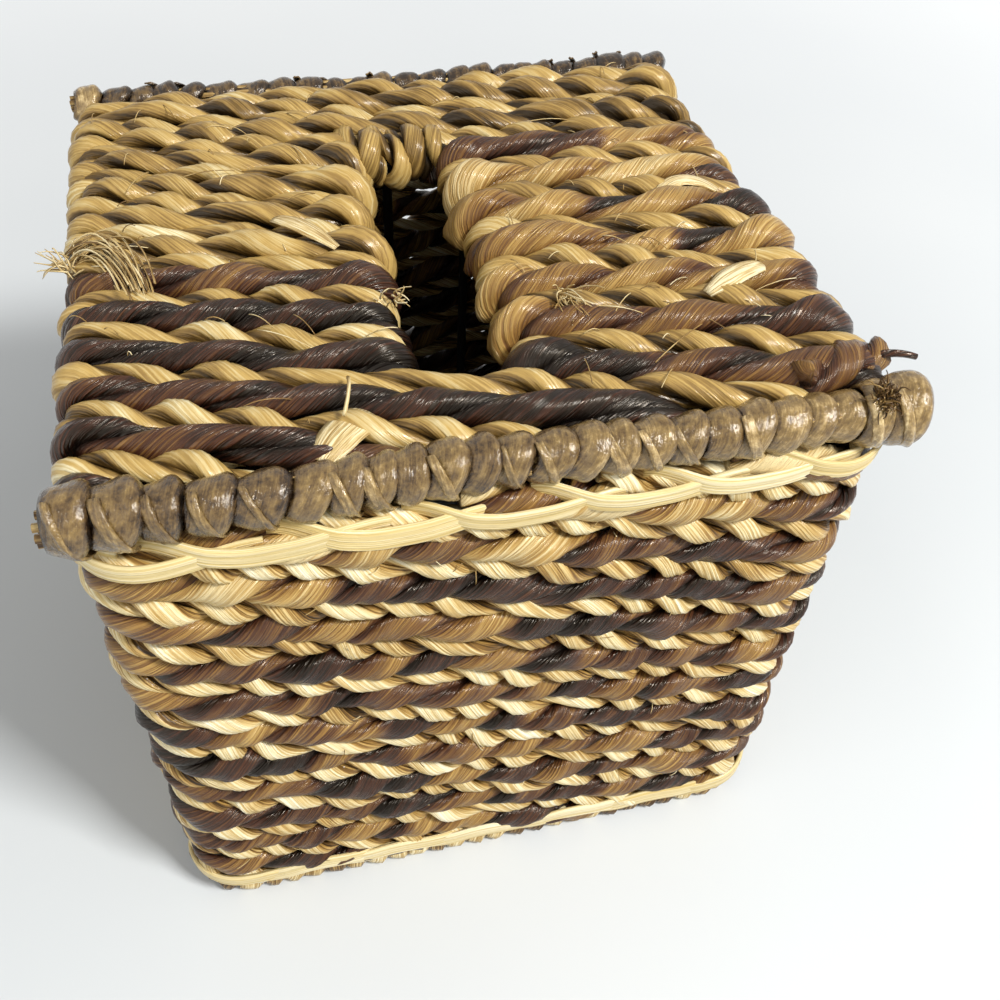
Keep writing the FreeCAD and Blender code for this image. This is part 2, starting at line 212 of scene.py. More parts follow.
def rolled_grid(strand):
    """Mesh of one strand: rings of points in mm, their tone and the strand's number."""
    rings = strand["rings"]
    tone = np.broadcast_to(strand["tone"], rings.shape[:2])
    if strand["closed"]:
        rings = np.concatenate([rings, rings[:, :1]], axis=1)
        tone = np.concatenate([tone, tone[:, :1]], axis=1)
    rows, columns = rings.shape[:2]
    bm = bmesh.new()
    bm.loops.layers.uv.new("fibre")
    bmesh.ops.create_grid(bm, x_segments=columns - 1, y_segments=rows - 1, size=1.0, calc_uvs=True)
    mesh = bpy.data.meshes.new("grid")
    bm.to_mesh(mesh)
    bm.free()

    spot = np.empty(len(mesh.vertices) * 3, "f")
    mesh.vertices.foreach_get("co", spot)
    share = (spot.reshape(-1, 3) + 1) / 2
    column = np.rint(share[:, 0] * (columns - 1)).astype(int)
    row = np.rint(share[:, 1] * (rows - 1)).astype(int)
    mesh.vertices.foreach_set("co", (rings[row, column] * mm).astype("f").ravel())
    mesh.attributes.new("tone", "FLOAT", "POINT").data.foreach_set("value", tone[row, column].astype("f"))
    number = np.full(len(row), strand["number"], "f")
    mesh.attributes.new("strand", "FLOAT", "POINT").data.foreach_set("value", number)

    steps = np.linalg.norm(np.diff(rings.mean(axis=1), axis=0), axis=1)
    along = np.r_[0, np.cumsum(steps)]
    steps = np.linalg.norm(np.diff(rings, axis=1), axis=2).mean(axis=0)
    around = np.r_[0, np.cumsum(steps)]
    uv = np.empty(len(mesh.loops) * 2, "f")
    mesh.uv_layers[0].data.foreach_get("uv", uv)
    uv = uv.reshape(-1, 2)
    column = np.rint(uv[:, 0] * (columns - 1)).astype(int)
    row = np.rint(uv[:, 1] * (rows - 1)).astype(int)
    mesh.uv_layers[0].data.foreach_set("uv", np.c_[along[row], around[column]].astype("f").ravel())
    return mesh


# %% [markdown]
# Many strands make one piece, so their grids go into one mesh. Rings that close get their seam merged and
# their ends filled, and open strips get the thickness of a leaf.

# %% Woven mesh


def woven_mesh(name, strands, leaf=None):
    """One mesh of many strands. Open strips are given a leaf's thickness in mm."""
    bm = bmesh.new()
    bm.loops.layers.uv.new("fibre")
    bm.verts.layers.float.new("tone")
    bm.verts.layers.float.new("strand")
    for strand in strands:
        mesh = rolled_grid(strand)
        bm.from_mesh(mesh)
        bpy.data.meshes.remove(mesh)
    if leaf:
        bmesh.ops.recalc_face_normals(bm, faces=bm.faces[:])
        bmesh.ops.solidify(bm, geom=bm.faces[:], thickness=leaf * mm)
    else:
        bmesh.ops.remove_doubles(bm, verts=bm.verts[:], dist=1e-7)
        open_edges = [edge for edge in bm.edges if edge.is_boundary]
        bmesh.ops.holes_fill(bm, edges=open_edges, sides=0)
    bmesh.ops.recalc_face_normals(bm, faces=bm.faces[:])
    mesh = bpy.data.meshes.new(name)
    bm.to_mesh(mesh)
    bm.free()
    mesh.shade_smooth()
    return mesh


# %% [markdown]
# A finished mesh becomes a piece of the cover: it gets its material, rides on the cover's one body, and
# hides the CAD nodes that it stands for.

# %% Dressing a piece


def dress(name, mesh, material, slot, *nodes):
    """Put a finished mesh in the scene with its material, on the cover's one body."""
    piece = bpy.data.objects.new(name, mesh)
    scene.collection.objects.link(piece)
    mesh.materials.clear()
    mesh.materials.append(material)
    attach(piece, "root")
    if nodes:
        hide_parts(*nodes)
    print(name, "has", len(mesh.polygons), "faces")
    return piece


# %% [markdown]
# ## The line of the walls
# The side ropes run round a square with round corners and fall by one full height in one turn. The size of
# that square comes from the border's box in the frame, and the step from rope to rope is the one that lets
# them clear each other in the corners. One function gives the point and the outward direction for any
# distance round the wall, and all that goes round the walls uses it.

# %% Wall line
pale_rope = 4.9
dark_rope = 5.8
rope_pairs = 11
lay_gap = 0.15
wire_diameter = 2.6
wire_corner = 5.0
wall_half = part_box("base_border")[1].x / mm
rope_half = wall_half - dark_rope / 2
rope_corner = wire_corner + dark_rope / 2 + lay_gap + wire_diameter / 2
corner_arc = math.pi * rope_corner / 4
side_run = 2 * (rope_half - rope_corner) + 2 * corner_arc
turn_run = 4 * side_run

rope_step = (pale_rope + dark_rope) / 2 + lay_gap
steepness = math.sqrt(2) * 2 * rope_pairs / (8 * rope_half)
rope_pitch = rope_step / math.sqrt(1 - (rope_step * steepness) ** 2)
turn_fall = 2 * rope_pairs * rope_pitch


def wall_line(distance):
    """Level points and outward directions at distances from the front left corner, to the right."""
    side = np.floor(distance / side_run)
    run = distance - side * side_run
    flat = rope_half - rope_corner
    in_first = run < corner_arc
    in_last = run > side_run - corner_arc
    past = np.where(in_last, run - side_run + corner_arc, 0.0)
    bend = np.where(in_first, run - corner_arc, past) / rope_corner
    normal = np.c_[np.sin(bend), -np.cos(bend)]
    straight = np.clip(run - corner_arc, 0, 2 * flat) - flat
    point = np.c_[straight, np.full(len(run), -flat)] + rope_corner * normal
    turn = side * math.pi / 2
    cos, sin = np.cos(turn), np.sin(turn)
    turned = [np.c_[v[:, 0] * cos - v[:, 1] * sin, v[:, 0] * sin + v[:, 1] * cos] for v in (point, normal)]
    return [np.c_[v, np.zeros(len(run))] for v in turned]


print("once round", round(turn_run, 1), "mm, rope pitch", round(rope_pitch, 3), "mm, fall in a turn",
      round(turn_fall, 1), "mm")

# %% [markdown]
# Hand work is never quite even. Three small functions give what a noise texture can't give a shape: a smooth
# random curve, a smooth step, and a tone that holds for as long as one strip of leaf does.

# %% Uneven work


def wander(rng, along, wavelength):
    """Smooth random curve between about -1 and 1, with bumps about a wavelength apart."""
    total = np.zeros(len(along))
    for stretch in (0.62, 1.0, 1.7):
        total += np.sin(2 * math.pi * (along / (wavelength * stretch) + rng.random()))
    return total / 2.2


def ease(value):
    """Smooth step from 0 to 1."""
    value = np.clip(value, 0, 1)
    return value * value * (3 - 2 * value)


def stretches(rng, along, length, levels):
    """Tone that holds for a stretch of strip and changes where the next strip was laid in."""
    ends = np.cumsum(rng.uniform(0.5, 1.5, 80) * length)
    held = rng.choice(levels, 80) + rng.uniform(-0.05, 0.05, 80)
    places = np.c_[ends - 2, ends + 2].ravel()
    return np.interp(along, places, np.c_[held, np.roll(held, -1)].ravel())


# %% [markdown]
# ## Two-ply rope
# Each rope is two plies wound round each other, pale ones in one direction and dark ones in the other, so
# that a pair of rows reads like a herringbone. A screw modifier would give perfect machine rope. Here the
# plies are calculated round the rope's own line, and the lay, the thickness and the tone wander a little, as
# they do when the rope is twisted by hand. A ply is a folded leaf: wide along the rope's skin, thinner
# towards its middle, with shallow folds and one edge that steps out. It bulges where it passes over the
# other ply. Where it tucks under that ply its tone is darkened: painted shade for the crease between plies.

# %% Two-ply twist
grass_twist = {"lay": 22.0, "hand": 1, "reach": 0.56, "wide": 0.8, "deep": 0.58, "flat": 0.95, "sides": 14,
               "fold": 0.09, "bulge": 0.14, "shade": 0.42, "hold": 24}
bark_twist = {"lay": 28.0, "hand": -1, "reach": 0.46, "wide": 0.92, "deep": 0.6, "flat": 0.84, "sides": 16,
              "fold": 0.1, "bulge": 0.1, "shade": 0.24, "hold": 26}
print("one twist of pale rope", grass_twist["lay"], "mm, of dark rope", bark_twist["lay"], "mm")


def line_frame(points, up):
    """Directions out of a line and across it, square to its heading. up is where out should point."""
    heading = np.gradient(points, axis=0)
    across = np.cross(heading, up)
    across /= np.linalg.norm(across, axis=1)[:, None]
    out = np.cross(across, heading)
    out /= np.linalg.norm(out, axis=1)[:, None]
    return out, across


def even_power(wave, power):
    """Wave with its crests flattened (power under 1), its sign kept."""
    return np.sign(wave) * np.abs(wave) ** power


def rope_plies(centre, up, radius, twist, rng, tone, levels):
    """The two plies along a rope's line. tone is the rope's own, levels are those that its strips add."""
    along = np.r_[0, np.cumsum(np.linalg.norm(np.diff(centre, axis=0), axis=1))]
    out, across = line_frame(centre, up)
    phase = rng.uniform(0, 2 * math.pi) + twist["hand"] * 2 * math.pi * along / twist["lay"]
    phase += 0.9 * wander(rng, along, 3.0 * twist["lay"])
    around = math.pi + 2 * math.pi * np.arange(twist["sides"]) / twist["sides"]
    plies = []
    for half_turn in (0, math.pi):
        angle = (phase + half_turn)[:, None]
        outward = np.cos(angle) * out + np.sin(angle) * across
        sideways = np.cos(angle) * across - np.sin(angle) * out
        bulge = 1 + twist["bulge"] * np.cos(phase + half_turn)
        size = (radius * bulge * (1 + 0.13 * wander(rng, along, 0.9 * twist["lay"])))[:, None]
        drift = rng.uniform(0, 6, 3)
        fold = np.cos(2 * around + 0.11 * along[:, None] + drift[0]) * 0.6
        fold += np.cos(5 * around - 0.23 * along[:, None] + drift[1]) * 0.4
        edge = (around / (2 * math.pi) + 0.012 * along[:, None] + drift[2]) % 1 - 0.5
        shape = 1 + twist["fold"] * (fold + 1.4 * edge)
        deep = twist["deep"] * size * even_power(np.cos(around), twist["flat"]) * shape
        rise = twist["reach"] * size + deep
        reach = twist["wide"] * size * even_power(np.sin(around), twist["flat"]) * shape
        rings = centre[:, None] + rise[..., None] * outward[:, None] + reach[..., None] * sideways[:, None]
        own = tone + stretches(rng, along, twist["hold"], levels) + 0.05 * wander(rng, along, twist["lay"])
        # Painted shade: the side of each ply that tucks under the other ply is darkened in its tone, for the
        # crease between the plies.
        tucked = twist["shade"] * ease((0.55 - np.cos(around)) / 1.1)
        plies.append({"rings": rings, "tone": own[:, None] - tucked, "number": rng.random(), "closed": True})
    return plies


# %% [markdown]
# ## Side ropes
# Rope after rope starts under the top and winds down to the right. It leans out a little where it passes a
# stake and dips between two, and its neighbour does the opposite. The turns nearest to the top are of
# a lighter bark. Every dark rope changes from near black to red-brown and tan in stretches, strip by strip.
# Real ropes are pressed together, so these are drawn a little thicker than the plain tubes of the CAD model.

# %% Side ropes
pale_press = 1.08
dark_press = 1.1
pale_spacing = 0.95
dark_spacing = 1.3
rope_top = 131.0
rope_foot = 5.4
stake_step = turn_run / 24
straw_levels = (-0.24, -0.12, -0.04, 0.02, 0.06, 0.1)
bark_levels = (-0.2, -0.16, -0.1, -0.04, 0.04, 0.12, 0.2, 0.3)


def side_rope(index, diameter, twist, spacing, tone_of, levels):
    """The two plies of one side rope, counted from the one that meets the foot at the front left."""
    rng = np.random.default_rng(100 + index)
    corner_height = index * rope_pitch
    begin = (corner_height - rope_top) / turn_fall * turn_run
    end = (corner_height - rope_foot) / turn_fall * turn_run
    distance = np.linspace(begin, end, int((end - begin) / spacing))
    points, out = wall_line(distance)
    height = corner_height - turn_fall * distance / turn_run
    side = 1 if index // 2 % 2 else -1
    lean = 0.2 + 0.45 * side * np.sin(math.pi * distance / stake_step) + 0.2 * wander(rng, distance, 50)
    centre = points + lean[:, None] * out
    centre[:, 2] = height + 0.4 * np.sin(2 * math.pi * distance / stake_step + index)
    centre[:, 2] += 0.55 * wander(rng, distance, 37)
    from_end = np.minimum(distance - begin, end - distance)
    radius = diameter / 2 * (0.6 + 0.4 * ease(from_end / 8)) * (1 + 0.08 * wander(rng, distance, 60))
    return rope_plies(centre, out, radius, twist, rng, tone_of(height), levels)


def pale_tone(height):
    """Straw yellow."""
    return np.full(len(height), 0.68)


def dark_tone(height):
    """Dark brown, lighter close to the top."""
    return 0.36 + 0.38 * ease((height - 108) / 12)


for pair in range(rope_pairs):
    number = "%02d" % (pair + 1)
    strands = side_rope(2 * pair, pale_press * pale_rope, grass_twist, pale_spacing, pale_tone, straw_levels)
    mesh = woven_mesh("pale_wall_rope_" + number, strands)
    dress("pale_wall_rope_" + number, mesh, sea_grass, "pale_rope", "pale_side_rope_" + number)
    strands = side_rope(2 * pair + 1, dark_press * dark_rope, bark_twist, dark_spacing, dark_tone,
                        bark_levels)
    mesh = woven_mesh("dark_wall_rope_" + number, strands)
    dress("dark_wall_rope_" + number, mesh, banana_bark, "dark_rope", "dark_side_rope_" + number)

# %% [markdown]
# ## Top rows
# The rows of the top fan out: they are thinner and closer at the left edge than at the right. Each bends
# down over a wire at its two ends. The rows in front run out under the rim, which hides where they stop.
# The line of a row is a stub, a quarter turn, a straight run, a quarter turn and a stub, sampled evenly.

# %% Row lines
top_half = 73.6
thin_row = (4.6, 6.2)
thick_row = (5.4, 7.4)
row_lean = math.cos(math.radians(14))
back_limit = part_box("back_rim_wraps")[0].y / mm - lay_gap
front_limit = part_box("front_rim_wraps")[1].y / mm + lay_gap
row_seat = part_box("top_wire")[1].z / mm + lay_gap
edge_drop = 1.6
slot_drop = 1.4
slot_edges = (-11.5, 6.0)
slot_row_first, slot_row_last, row_total = 5, 17, 24
row_steps = [((thin_row[side] + thick_row[side]) / 2 + lay_gap) / row_lean for side in (0, 1)]
under_rim = front_limit - 3.5


def across_top(pair, x):
    """Value at x of something that changes evenly from the left edge to the right."""
    return pair[0] + (pair[1] - pair[0]) * (x + top_half) / (2 * top_half)


def row_radius(index, x):
    """Rope's radius at x. Odd rows are the thick ones."""
    return across_top(thick_row if index % 2 else thin_row, x) / 2


def row_y(index, x):
    """Middle of a row at x, counted from the back."""
    ends = [back_limit - thick_row[side] / 2 - row_steps[side] * index for side in (0, 1)]
    return across_top(ends, x)


def row_line(index, left_tip, right_tip, left_drop, right_drop, spacing):
    """Even points along one row, from the left stub over the top to the right stub."""
    pieces = []
    for tip, inward, drop in ((left_tip, 1, left_drop), (right_tip, -1, right_drop)):
        radius = row_radius(index, tip)
        bend = radius + lay_gap + wire_diameter / 2
        turn = np.linspace(0, math.pi / 2, 12)
        x = np.r_[tip + inward * radius, tip + inward * (radius + bend * (1 - np.cos(turn)))]
        z = row_seat + radius - bend + np.r_[-drop, bend * np.sin(turn)]
        pieces.append(np.c_[x, row_y(index, x), z])
    path = np.r_[pieces[0], pieces[1][::-1]]
    along = np.r_[0, np.cumsum(np.linalg.norm(np.diff(path, axis=0), axis=1))]
    even = np.linspace(0, along[-1], int(along[-1] / spacing))
    line = np.stack([np.interp(even, along, path[:, axis]) for axis in range(3)], axis=1)
    return line[line[:, 1] > under_rim]


print("top rows:", row_total, "of which the slot breaks", slot_row_last - slot_row_first + 1)

# %% [markdown]
# The twist of the top rows is longer than that of the walls: a pale lobe is about 16 mm long and a dark one
# more than 20 mm. Thick rows swell where they loop over the slot's rods, and the thin ones between them
# nearly vanish. Each row has a tone at its left and one at its right end: olive behind, near black in front
# on the left, mid brown on the right.

# %% Top rows
row_spacing = 1.1
top_grass_twist = dict(grass_twist, lay=31.0, reach=0.54, wide=0.78, deep=0.64, sides=16, bulge=0.2,
                       shade=0.5, hold=22)
top_bark_twist = dict(bark_twist, lay=44.0, wide=0.88, deep=0.66, bulge=0.14, hold=30)
olive_levels = (-0.1, -0.04, 0.0, 0.04, 0.1)
dye_levels = (-0.05, -0.02, 0.0, 0.03, 0.08)
mixed_levels = (-0.24, -0.14, 0.0, 0.1, 0.18, 0.24)


def top_row(index, tips, drops, twist, tones, levels):
    """The two plies of one row of the top. tones are those at its two tips."""
    rng = np.random.default_rng(500 + 2 * index + (tips[0] > -top_half))
    line = row_line(index, *tips, *drops, row_spacing)
    along = row_spacing * np.arange(len(line))
    line[:, 1] += 0.6 * wander(rng, along, 45)
    line[:, 2] += 0.55 * wander(rng, along, 38) + 0.2
    lean_out = np.cross(np.array([0.0, -1.0, 0.0]), np.gradient(line, axis=0))
    radius = row_radius(index, line[:, 0]) * (1 + 0.08 * wander(rng, along, 40))
    if tips != (-top_half, top_half):
        slot_edge = tips[1] if tips[0] == -top_half else tips[0]
        swell = 0.34 if index % 2 else -0.15
        radius *= 1 + swell * ease(1 - (abs(line[:, 0] - slot_edge) - 4) / 9)
    dip = ease((front_limit + 2 - line[:, 1]) / 5.5)
    line[:, 2] -= 3.2 * dip
    radius *= 1 - 0.4 * dip
    tone = np.interp(line[:, 0], tips, tones)
    return rope_plies(line, lean_out, radius, twist, rng, tone, levels)


whole_tips, whole_drops = (-top_half, top_half), (edge_drop, edge_drop)
left_tips, left_drops = (-top_half, slot_edges[0]), (edge_drop, slot_drop)
right_tips, right_drops = (slot_edges[1], top_half), (slot_drop, edge_drop)
slot_rows = range(slot_row_first, slot_row_last + 1)
back_tones = [(0.64, 0.54), (0.54, 0.44), (0.62, 0.54), (0.56, 0.3), (0.62, 0.5)]
front_tones = {18: (0.62, 0.58), 19: (0.22, 0.16), 20: (0.66, 0.6), 21: (0.26, 0.3), 22: (0.66, 0.6),
               23: (0.2, 0.2)}
right_tones = {5: (0.6, 0.56), 7: (0.66, 0.6), 9: (0.6, 0.34), 11: (0.4, 0.5), 13: (0.62, 0.46),
               15: (0.62, 0.16), 17: (0.34, 0.16)}
left_tones = {13: (0.46, 0.3), 15: (0.2, 0.14), 17: (0.18, 0.14)}

for index in range(slot_row_first):
    name = "top_back_row_%d" % (index + 1)
    strands = top_row(index, whole_tips, whole_drops, top_grass_twist, back_tones[index], olive_levels)
    dress("twisted_" + name, woven_mesh(name, strands), olive_grass, "pale_rope", name)
for index in range(slot_row_last + 1, row_total):
    name = "top_front_row_%d" % (index - slot_row_last)
    if index % 2:
        strands = top_row(index, whole_tips, whole_drops, top_bark_twist, front_tones[index], dye_levels)
        dress("twisted_" + name, woven_mesh(name, strands), banana_bark, "dark_rope", name)
    else:
        strands = top_row(index, whole_tips, whole_drops, top_grass_twist, front_tones[index], olive_levels)
        dress("twisted_" + name, woven_mesh(name, strands), olive_grass, "pale_rope", name)

# %% [markdown]
# The slot breaks thirteen rows into a left and a right part. Parts of the same side and the same plant are
# one piece here, as they are in the CAD model. They come from the same function as the whole rows, with
# tips at the slot's edges, so a loop over four entries makes them all.

# %% Rows beside the slot
left_pale_tones = {index: (0.56, 0.52) if index % 2 else (0.68, 0.62)
                   for index in slot_rows if index not in left_tones}
right_pale_tones = {index: (0.52, 0.56) for index in slot_rows if index % 2 == 0}
beside_slot = {
    "top_left_dark_rows": (left_tips, left_drops, top_bark_twist, left_tones, dye_levels,
                           banana_bark, "dark_rope"),
    "top_right_dark_rows": (right_tips, right_drops, top_bark_twist, right_tones, mixed_levels,
                            banana_bark, "brown_rope"),
    "top_left_pale_rows": (left_tips, left_drops, top_grass_twist, left_pale_tones, olive_levels,
                           olive_grass, "pale_rope"),
    "top_right_pale_rows": (right_tips, right_drops, top_grass_twist, right_pale_tones, olive_levels,
                            olive_grass, "pale_rope"),
}
for name, (tips, drops, twist, tones, levels, material, slot) in beside_slot.items():
    plies = []
    for index in tones:
        plies += top_row(index, tips, drops, twist, tones[index], levels)
    dress("twisted_" + name, woven_mesh(name, plies), material, slot, name)

# %% [markdown]
# ## Strips wound round a core
# The rims and the border at the foot are overcast: flat strips of bark or leaf go round a core, side by
# side. Each strip slopes up from under its neighbour, turns down steeply at its other edge, and leans.
# Solidify gives it the thickness of a leaf.

# %% Wound strips


def wound_strip(place, rng, width, reach, sink, lean, tone, spans, squareness=1.0, ends=(-2.4, 4.1),
                tip=1.0):
    """One strip round a core. place turns steps along the core, out and up in mm into points."""
    across = np.linspace(-1, 1, spans[0] + 1)[None, :]
    angle = np.linspace(ends[0], ends[1], spans[1] + 1)[:, None]
    wave = rng.uniform(0, 6, 3)
    crease = 0.14 * np.sin(2.6 * across + wave[0] + angle) + 0.1 * np.sin(5.1 * across + 2 * angle + wave[1])
    slope = np.clip((0.5 - across) / 1.5, 0, 1) ** 1.7
    drop = np.clip((across - 0.5) / 0.5, 0, 1) ** 2.2
    depth = sink * (slope + drop) - crease
    out = (reach[0] - depth) * even_power(np.cos(angle), squareness)
    up = (reach[1] - depth) * even_power(np.sin(angle), squareness)
    taper = np.interp(angle, ends, (1.0, tip))
    along = across * width / 2 * taper * (0.9 + 0.1 * np.sin(angle)) + lean * np.sin(angle)
    along = along + 0.3 * np.sin(2 * angle + wave[2])
    # Painted shade: each strip is darker near its two edges, in the creases between strips, the more so the
    # deeper it sinks.
    tones = tone - 0.22 * sink * ease((np.abs(across) - 0.6) / 0.4) + 0 * angle
    return {"rings": place(along, out, up), "tone": tones, "number": rng.random(), "closed": False}


# %% [markdown]
# ## Rolled rims
# Two dozen strips of bark go round each rim, each with its own width, lean and colour, greyer at the left
# and more golden at the right. On the front rim the strips are widest at the left end. A narrow fold, a
# little lighter, crosses some of them from below. One ribbon wound in a screw would be quicker to make, but
# then all turns would look alike.

# %% Rims
rim_wraps = 24
fold_chance = 0.55
fold_lift = 0.15


def rim_strips(side):
    """The strips of the front (-1) or back (1) rim."""
    rng = np.random.default_rng(31 + side)
    low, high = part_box("front_rim_wraps" if side < 0 else "back_rim_wraps")
    middle = (low + high) / 2 / mm
    reach = (high.z - low.z) / 2 / mm
    widths = rng.uniform(0.8, 1.25, rim_wraps)
    if side < 0:
        widths[:5] *= 1.3
    edges = low.x / mm + (high.x - low.x) / mm * np.r_[0, np.cumsum(widths)] / widths.sum()
    sway = rng.uniform(0, 6, 2)
    strips = []
    for left, right in zip(edges[:-1], edges[1:]):
        centre = (left + right) / 2
        share = (centre - low.x / mm) / ((high.x - low.x) / mm)

        def place(along, out, up):
            """Points round this strip's middle."""
            x = centre + along
            y = middle.y + side * out + 0.4 * np.sin(0.09 * x + sway[0])
            z = middle.z + up + 0.4 * np.sin(0.07 * x + sway[1])
            return np.stack([x, y, z], axis=2)

        if side < 0:
            tone = 0.4 + 0.24 * share
            size = reach + 0.9 * ease((0.2 - share) / 0.2) + 1.6 * ease((share - 0.9) / 0.06)
        else:
            tone = 0.28 + 0.5 * ease((0.06 - share) / 0.03)
            size = reach - 0.5 + 1.6 * ease((share - 0.8) / 0.1) + 1.2 * ease((0.06 - share) / 0.03)
        tone += rng.uniform(-0.08, 0.08)
        size += rng.uniform(-0.5, 0.15)
        lean = rng.uniform(0.7, 1.7)
        strips.append(wound_strip(place, rng, right - left + 0.9, (size, size), 1.4, lean, tone, (12, 30)))
        if rng.random() < fold_chance:
            fold_width = rng.uniform(2.4, 4.0)
            fold_lean = rng.uniform(-2.6, -1.4)
            reaches = (size + fold_lift, size + fold_lift)
            strips.append(wound_strip(place, rng, fold_width, reaches, 0.35, fold_lean, tone + 0.12, (6, 18),
                                      ends=(-2.1, 1.3), tip=0.55))
    return strips


for side, name in ((-1, "front"), (1, "back")):
    mesh = woven_mesh(name + "_rim_bark", rim_strips(side), leaf=0.35)
    dress(name + "_rim_bark", mesh, rim_bark, "rim_bark", name + "_rim_wraps")

# %% [markdown]
# The core of a rim is a bundle of coarse fibres. Only its two cut ends show, so the bundle is a dozen
# strands side by side, each a little shorter or longer than the next. A thread is the simplest strand: round
# rings along a line.

# %% Rim cores


def thread(points, radius, sides, tone, number, up=(0.0, 0.0, 1.0)):
    """A round strand along points, with one radius or one for each point."""
    out, across = line_frame(points, np.array(up))
    around = 2 * math.pi * np.arange(sides) / sides
    radius = (radius * np.ones(len(points)))[:, None, None]
    turned = np.cos(around)[None, :, None] * out[:, None] + np.sin(around)[None, :, None] * across[:, None]
    rings = points[:, None] + radius * turned
    return {"rings": rings, "tone": tone, "number": number, "closed": True}


def core_threads(name, seed):
    """Fibres of one rim core, packed in a ring of eight round four."""
    rng = np.random.default_rng(seed)
    low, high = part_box(name)
    middle = (low + high) / 2 / mm
    half = (high.x - low.x) / 2 / mm
    ring_size = (high.z - low.z) / 2 / mm
    threads = []
    for count, ring in ((4, 0.36), (8, 0.78)):
        for index in range(count):
            angle = 2 * math.pi * index / count
            x = np.linspace(-half + rng.uniform(0, 1.2), half - rng.uniform(0, 1.2), 40)
            y = middle.y + ring * ring_size * math.cos(angle) + 0.15 * wander(rng, x, 30)
            z = middle.z + ring * ring_size * math.sin(angle) + 0.15 * wander(rng, x, 30)
            threads.append(thread(np.c_[x, y, z], 0.24 * ring_size, 7, rng.uniform(0.3, 0.6), rng.random()))
    return threads


for name in ("front_rim_core", "back_rim_core"):
    mesh = woven_mesh(name + "_fibres", core_threads(name, len(name)))
    dress(name + "_fibres", mesh, cut_fibre, "rim_fibre", name)

# %% [markdown]
# ## Border at the foot
# The same overcast winding closes the foot all the way round, with shorter strips in straw and brown over
# a squarer core. The strips are the same function again, placed along the line of the walls, and they are
# held just above the floor.

# %% Border
border_wraps = 104
border_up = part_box("base_border")[1].z / mm / 2
border_out = 4.7


def border_strips():
    """The strips all round the foot."""
    rng = np.random.default_rng(77)
    step = turn_run / border_wraps
    strips = []
    for index in range(border_wraps):
        centre = step * (index + 0.5)

        def place(along, out, up):
            """Points round this strip's middle, square to the wall."""
            point, normal = wall_line((centre + along).ravel())
            depth = wall_half - border_out - rope_half + out.ravel()
            spot = point + depth[:, None] * normal
            spot[:, 2] = np.maximum(border_up + up.ravel(), 0.02)
            return spot.reshape(along.shape + (3,))

        tone = rng.choice([0.3, 0.42, 0.66, 0.78]) + rng.uniform(-0.06, 0.06)
        strips.append(wound_strip(place, rng, step + rng.uniform(0.2, 1.0), (border_out, border_up - 0.3),
                                  0.9, rng.uniform(0.3, 1.1), tone, (4, 16), squareness=0.75))
    return strips


dress("border_strips", woven_mesh("border_strips", border_strips(), leaf=0.3), cut_fibre, "border_leaf",
      "base_border")

# %% [markdown]
# ## Rattan twining
# Above and below the ropes, two strips of rattan twist past each other between the stakes. From outside it
# shows as a row of long floats: each comes out under the rim, dips, and rises until it tucks under the next.
# Every float is a flat strand with rounded edges and a few shallow grooves along it. Single floats that
# overlap show the same as two long strands, and are simpler to shape.

# %% Rattan floats
float_count = 25
float_reach = 1.9
rattan_half_width = 2.2
rattan_half_depth = 0.75


def rattan_floats(seed, heights, depths):
    """Floats all round the wall. heights and depths are those at the start, in the dip and at the end."""
    rng = np.random.default_rng(seed)
    step = turn_run / float_count
    share = np.linspace(0, 1, 30)
    around = math.pi + 2 * math.pi * np.arange(22) / 22
    wide = even_power(np.sin(around), 0.75)
    deep = even_power(np.cos(around), 0.55) * (1 - 0.14 * (1 + np.cos(4 * math.pi * wide)))
    floats = []
    for index in range(float_count):
        distance = step * (index + 0.2 + float_reach * share) + rng.uniform(-1.5, 1.5)
        points, out = wall_line(distance)
        down, back = ease(share / 0.45), ease((share - 0.45) / 0.55)
        height = heights[0] + (heights[1] - heights[0]) * down + (heights[2] - heights[1]) * back
        sink, tuck = ease(share / 0.3), ease((share - 0.6) / 0.4)
        depth = depths[0] + (depths[1] - depths[0]) * sink + (depths[2] - depths[1]) * tuck
        line = points + (depth - rope_half)[:, None] * out
        line[:, 2] = height + rng.uniform(-0.4, 0.4)
        taper = 0.8 + 0.2 * ease(share / 0.2) * ease((1 - share) / 0.3)
        width = rattan_half_width * rng.uniform(0.9, 1.08) * taper
        level = np.array([0.0, 0.0, 1.0]) + 0.1 * math.sin(rng.uniform(0, 6)) * out
        rings = line[:, None] + rattan_half_depth * deep[None, :, None] * out[:, None]
        rings = rings + width[:, None, None] * wide[None, :, None] * level[:, None]
        # Painted shade: each float is darker over its first stretch, where it comes out from under the float
        # before it.
        tone = 0.68 + rng.uniform(-0.1, 0.1) - 0.2 * (1 - ease(share / 0.15)[:, None]) + 0 * around
        floats.append({"rings": rings, "tone": tone, "number": rng.random(), "closed": True})
    return floats


rattan_places = {
    "upper_rattan_outside": ((131.2, 127.2, 128.8), (69.8, 73.0, 71.4)),
    "lower_rattan_outside": ((7.4, 10.4, 8.6), (71.0, 72.6, 71.2)),
    "upper_rattan_inside": ((130.8, 129.4, 130.4), (62.9, 62.4, 62.8)),
    "lower_rattan_inside": ((7.6, 9.2, 8.2), (62.9, 62.4, 62.8)),
}
for order, (name, (heights, depths)) in enumerate(rattan_places.items()):
    mesh = woven_mesh(name + "_floats", rattan_floats(40 + order, heights, depths))
    dress(name + "_floats", mesh, rattan, "rattan", name)

# %% [markdown]
# ## Loose ends
# Hand-made weaving shows where strands start and stop. Ropes loop over the bar at the back of the slot, a
# bow of fibres stands at the left edge, the rim's core and one thick rope end in cut faces at the right,
# leaves stick up where they were tucked in, and fine hairs stand off everywhere. None of these is a part
# of its own, so they are thin strands made by the same helpers, in the finish of the rope they belong to.

# %% Strands for loose ends


